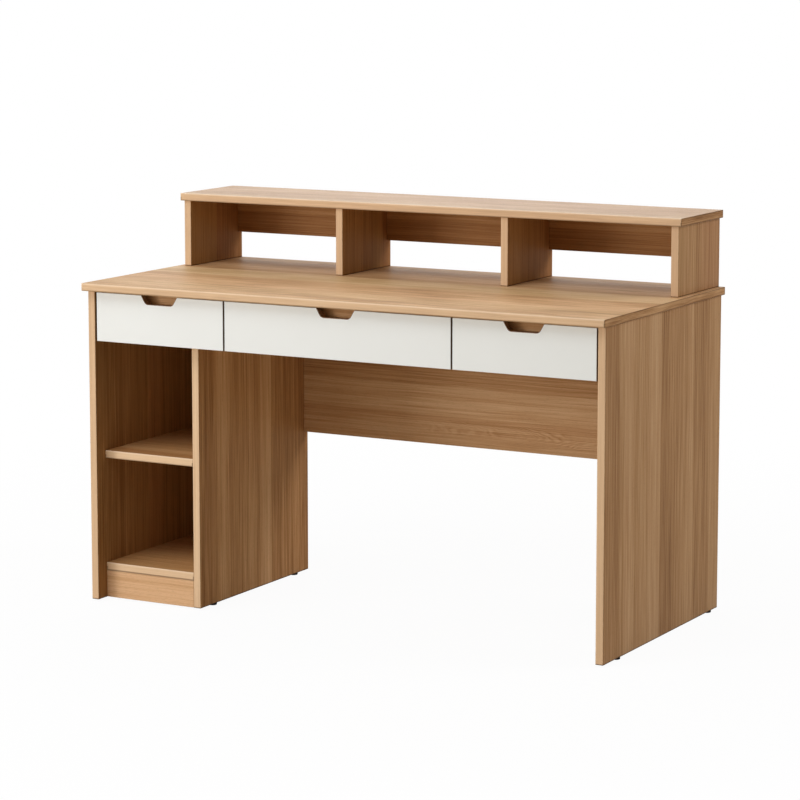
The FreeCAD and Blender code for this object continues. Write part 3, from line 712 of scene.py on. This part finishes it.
def makeBoxBoard(name, seed, grain):
    # birch ply: pale rotary grain on the faces, thin layers on the edges
    low, _, size, thin, wide = measureBoard(name, grain)
    material, tree = newMaterial("ply_" + name)
    place, facing = placeAndFacing(tree)
    onEdge = calc(tree, "LESS_THAN", calc(tree, "ABSOLUTE", facing[thin]), facingCosine)
    along, across = place[grain], place[wide]
    spot = spotOnGrain(
        tree, "MULTIPLY", along, across, boxLook["figureScales"], seed * boxLook["figureStep"]
    )
    broad = noise(tree, spot, **boxLook["figureNoise"])
    spot = spotOnGrain(
        tree, "MULTIPLY", along, across, boxLook["hairScales"], seed * boxLook["hairStep"]
    )
    hairs = noise(tree, spot, detail=boxLook["hairDetail"])
    hairWeight, figureWeight, base = boxLook["faceWeights"]
    share = calc(tree, "MULTIPLY_ADD", broad, figureWeight, base)
    share = calc(tree, "MULTIPLY_ADD", hairs, hairWeight, share)
    share = calc(tree, "ADD", share, 0.0, clamp=True)
    face = blendColour(tree, share, boxLook["deep"], boxLook["pale"])
    through = calc(tree, "SUBTRACT", place[thin], low[thin])
    layer = calc(tree, "MULTIPLY", through, boxLook["plies"] * math.pi / size[thin])
    layers = calc(tree, "SINE", layer)
    layers = threshold(tree, layers, -boxLook["plyBlur"], boxLook["plyBlur"])
    hairWeight, layerWeight, base = boxLook["edgeWeights"]
    layers = calc(tree, "MULTIPLY_ADD", layers, layerWeight, base)
    layers = calc(tree, "MULTIPLY_ADD", hairs, hairWeight, layers)
    edge = blendColour(tree, layers, boxLook["plyDark"], boxLook["plyLight"])
    colour = blendColour(tree, onEdge, face, edge)
    height = weighedSum(tree, hairs, boxLook["hairRelief"], broad, boxLook["figureRelief"])
    roughness = roughnessAbout(tree, boxLook["roughness"], boxLook["roughSpread"], hairs)
    finishMaterial(tree, colour, roughness, height, boxLook["bump"], specular=boxLook["gloss"])
    return material


boxGrain = {"left_side": alongY, "right_side": alongY, "back": alongX}
seedsPerDrawer = 5
for drawerNumber, drawer in enumerate(drawers):
    for boardNumber, (board, grain) in enumerate(boxGrain.items()):
        name = drawer + "_drawer_" + board
        seed = drawerNumber * seedsPerDrawer + boardNumber + 1
        dress([name], makeBoxBoard(name, seed, grain))


bottomLook = {
    "shade": (214, 208, 196),
    "white": (236, 233, 226),
    "speckle": (420.0, 3.0, 0.65),   # scale, detail and roughness of the speckle
    "clouding": (11.0, 2.0),
    "speckleShare": 0.6,
    "cloudShare": 0.4,
    "roughness": 0.55,
    "roughSpread": 0.1,
    "bump": 0.00005,
}


def makeDrawerBottom():
    # white-faced hardboard with a faint speckle
    material, tree = newMaterial("drawer_bottom_white")
    place = surfacePlace(tree)
    speckle = noise(tree, place, *bottomLook["speckle"])
    cloud = noise(tree, place, *bottomLook["clouding"])
    share = weighedSum(tree, speckle, bottomLook["speckleShare"], cloud, bottomLook["cloudShare"])
    colour = blendColour(tree, share, bottomLook["shade"], bottomLook["white"])
    roughness = roughnessAbout(tree, bottomLook["roughness"], bottomLook["roughSpread"], speckle)
    finishMaterial(tree, colour, roughness, speckle, bottomLook["bump"])
    return material


dress([drawer + "_drawer_bottom" for drawer in drawers], makeDrawerBottom())
print("drawer boxes dressed")


# Metal, beech and plastic

platedLook = {
    "markScale": 1300.0,
    "drawnScale": 24.0,              # of the marks along a rolled rail
    "markDetail": 2.0,
    "spangle": (90.0, 2.0),          # scale and detail
    "markShare": 0.5,
    "spangleShare": 0.5,
    "roughSpread": 0.22,
    "bump": 0.00003,
}
railPlating = dict(bright=(214, 216, 220), dull=(176, 180, 186), roughness=0.33, streak=alongY)
screwPlating = dict(bright=(206, 204, 198), dull=(160, 158, 152), roughness=0.36)
camPlating = dict(bright=(188, 190, 192), dull=(140, 142, 146), roughness=0.46)


def makePlated(name, bright, dull, roughness, streak=None):
    # zinc plating: metal with a faint spangle, drawn out along axis number streak on rolled rails
    material, tree = newMaterial(name)
    place = surfacePlace(tree)
    scales = [platedLook["markScale"]] * 3
    if streak is not None:
        scales[streak] = platedLook["drawnScale"]
    spot = scaledPlace(tree, separate(tree, place), scales)
    marks = noise(tree, spot, detail=platedLook["markDetail"])
    spangle = noise(tree, place, *platedLook["spangle"])
    share = weighedSum(tree, marks, platedLook["markShare"], spangle, platedLook["spangleShare"])
    colour = blendColour(tree, share, dull, bright)
    rough = roughnessAbout(tree, roughness, platedLook["roughSpread"], share)
    finishMaterial(tree, colour, rough, marks, platedLook["bump"], metallic=1.0)
    return material


beechLook = {
    "deep": (176, 136, 92),
    "pale": (222, 188, 144),
    "flecks": (700.0, 3.0),          # scale and detail
    "roughness": 0.6,
    "bump": 0.0001,
}


def makeBeech():
    material, tree = newMaterial("beech_dowel")
    flecks = noise(tree, surfacePlace(tree), *beechLook["flecks"])
    colour = blendColour(tree, flecks, beechLook["deep"], beechLook["pale"])
    finishMaterial(tree, colour, beechLook["roughness"], flecks, beechLook["bump"])
    return material


footLook = {
    "black": (16, 15, 15),
    "scuffed": (30, 28, 27),
    "texture": (1600.0, 2.0),        # scale and detail
    "scuffs": (160.0, 3.0, 0.6),     # and roughness
    "roughness": 0.52,
    "roughSpread": 0.2,
    "gloss": 0.1,
    "bump": 0.00008,
}


def makeFootPlastic():
    material, tree = newMaterial("foot_plastic")
    place = surfacePlace(tree)
    texture = noise(tree, place, *footLook["texture"])
    scuffs = noise(tree, place, *footLook["scuffs"])
    colour = blendColour(tree, scuffs, footLook["black"], footLook["scuffed"])
    rough = roughnessAbout(tree, footLook["roughness"], footLook["roughSpread"], scuffs)
    finishMaterial(tree, colour, rough, texture, footLook["bump"], specular=footLook["gloss"])
    return material


railParts = ("outer", "middle", "inner")
rails = [f"{drawer}_drawer_{part}_rails" for drawer in drawers for part in railParts]
screws = [drawer + "_drawer_screws" for drawer in drawers] + ["rail_screws", "hutch_screws"]
dress(rails, makePlated("rail_steel", **railPlating))
dress(screws, makePlated("screw_steel", **screwPlating))
dress(["cam_nuts", "cam_bolts"], makePlated("cam_zinc", **camPlating))
dress(["dowels"], makeBeech())
dress(["feet"], makeFootPlastic())
print("fittings dressed")


# Studio: floor, lamps, world and camera

studio = {
    "floorSize": 30.0,
    "floorSeen": (255, 255, 255),
    "floorGlow": 0.95,               # share of plain white in the floor that the camera sees
    "fadeFrom": 0.9,                 # distance from the desk's middle where the floor starts
    "fadeTo": 2.6,                   # to turn plain white, and where it is
    "floorBounce": (222, 211, 194),  # what the floor throws back at the desk
    "worldLight": (255, 253, 241),
    "worldStrength": 0.205,
    "cameraPlace": (3.2347, -5.8876, 1.5652),
    "cameraTurn": 28.81,             # degrees to the left of straight ahead
    "cameraDip": 7.598,              # degrees below level
    "lens": 132.98,
    "sensorWidth": 36.0,
    "shift": -0.10,
}
lamps = {
    # place, aim, size in m, power in W, tint
    "sideKey": ((-4.6, -5.2, 1.3), (0.0, 0.0, 0.5), 2.2, 156.0, (252, 252, 255)),
    "lowKey": ((-2.9, -6.6, 1.6), (0.0, 0.0, 0.6), 2.4, 40.0, (252, 252, 255)),
    "topFront": ((-0.6, -2.8, 4.2), (0.0, 0.0, 0.6), 2.4, 73.0, (255, 252, 255)),
    "top": ((-2.4, -0.5, 3.6), (0.0, 0.0, 0.6), 2.4, 32.0, (252, 252, 255)),
    "right": ((4.0, 1.8, 2.8), (0.0, 0.0, 0.5), 2.2, 84.0, (255, 244, 245)),
    "back": ((-2.2, 3.8, 4.0), (0.0, 0.0, 0.7), 2.4, 52.0, (252, 252, 255)),
}


def seenDirectly(tree):
    # 1 for camera, mirror and glass rays, else 0
    path = addNode(tree, "ShaderNodeLightPath")
    seen = calc(tree, "MAXIMUM", path.outputs["Is Camera Ray"], path.outputs["Is Glossy Ray"])
    return calc(tree, "MAXIMUM", seen, path.outputs["Is Transmission Ray"])


def blendShaders(tree, share, first, second):
    node = addNode(tree, "ShaderNodeMixShader")
    for socket, value in zip(node.inputs, (share, first.outputs[0], second.outputs[0])):
        plug(tree, socket, value)
    return node


def plainShader(tree, kind, colour):
    node = addNode(tree, kind)
    node.inputs["Color"].default_value = colour
    return node


def makeFloor():
    half = studio["floorSize"] / 2
    corners = [(-half, -half, 0), (half, -half, 0), (half, half, 0), (-half, half, 0)]
    mesh = bpy.data.meshes.new("floor")
    mesh.from_pydata(corners, [], [(0, 1, 2, 3)])
    floor = bpy.data.objects.new("floor", mesh)
    bpy.context.scene.collection.objects.link(floor)
    material, tree = newMaterial("floor_white")
    white = fromScreen(*studio["floorSeen"])
    distance = addNode(tree, "ShaderNodeVectorMath", operation="LENGTH")
    tree.links.new(surfacePlace(tree), distance.inputs[0])
    far = threshold(tree, distance.outputs["Value"], studio["fadeFrom"], studio["fadeTo"])
    seen = blendShaders(
        tree,
        blendNumber(tree, far, studio["floorGlow"], 1.0),
        plainShader(tree, "ShaderNodeBsdfDiffuse", white),
        plainShader(tree, "ShaderNodeEmission", white),
    )
    bounce = plainShader(tree, "ShaderNodeBsdfDiffuse", fromScreen(*studio["floorBounce"]))
    both = blendShaders(tree, seenDirectly(tree), bounce, seen)
    output = addNode(tree, "ShaderNodeOutputMaterial")
    tree.links.new(both.outputs[0], output.inputs["Surface"])
    mesh.materials.append(material)


def makeWorld():
    world = bpy.data.worlds.new("studio")
    bpy.context.scene.world = world
    world.use_nodes = True
    tree = world.node_tree
    tree.nodes.clear()
    light = plainShader(tree, "ShaderNodeBackground", fromScreen(*studio["worldLight"]))
    light.inputs["Strength"].default_value = studio["worldStrength"]
    backdrop = plainShader(tree, "ShaderNodeBackground", (1, 1, 1, 1))    # white at strength 1
    backdrop.inputs["Strength"].default_value = 1.0
    both = blendShaders(tree, seenDirectly(tree), light, backdrop)
    output = addNode(tree, "ShaderNodeOutputWorld")
    tree.links.new(both.outputs[0], output.inputs["Surface"])


def addLamp(name, place, aim, size, power, tint):
    data = bpy.data.lights.new(name, "AREA")
    data.shape = "SQUARE"
    data.size = size
    data.energy = power
    data.color = fromScreen(*tint)[:3]
    lamp = bpy.data.objects.new(name, data)
    bpy.context.scene.collection.objects.link(lamp)
    lamp.location = place
    lamp.rotation_euler = (Vector(aim) - Vector(place)).to_track_quat("-Z", "Y").to_euler()
    lamp.visible_camera = False


def makeCamera():
    data = bpy.data.cameras.new("camera")
    data.sensor_width = studio["sensorWidth"]
    data.lens = studio["lens"]
    data.shift_y = studio["shift"]
    camera = bpy.data.objects.new("camera", data)
    bpy.context.scene.collection.objects.link(camera)
    camera.location = studio["cameraPlace"]
    camera.rotation_euler = (
        math.radians(90 - studio["cameraDip"]), 0, math.radians(studio["cameraTurn"])
    )
    bpy.context.scene.camera = camera


makeFloor()
makeWorld()
for name, values in lamps.items():
    addLamp(name, *values)
makeCamera()
bpy.context.scene.view_settings.view_transform = "Standard"
print("studio set")
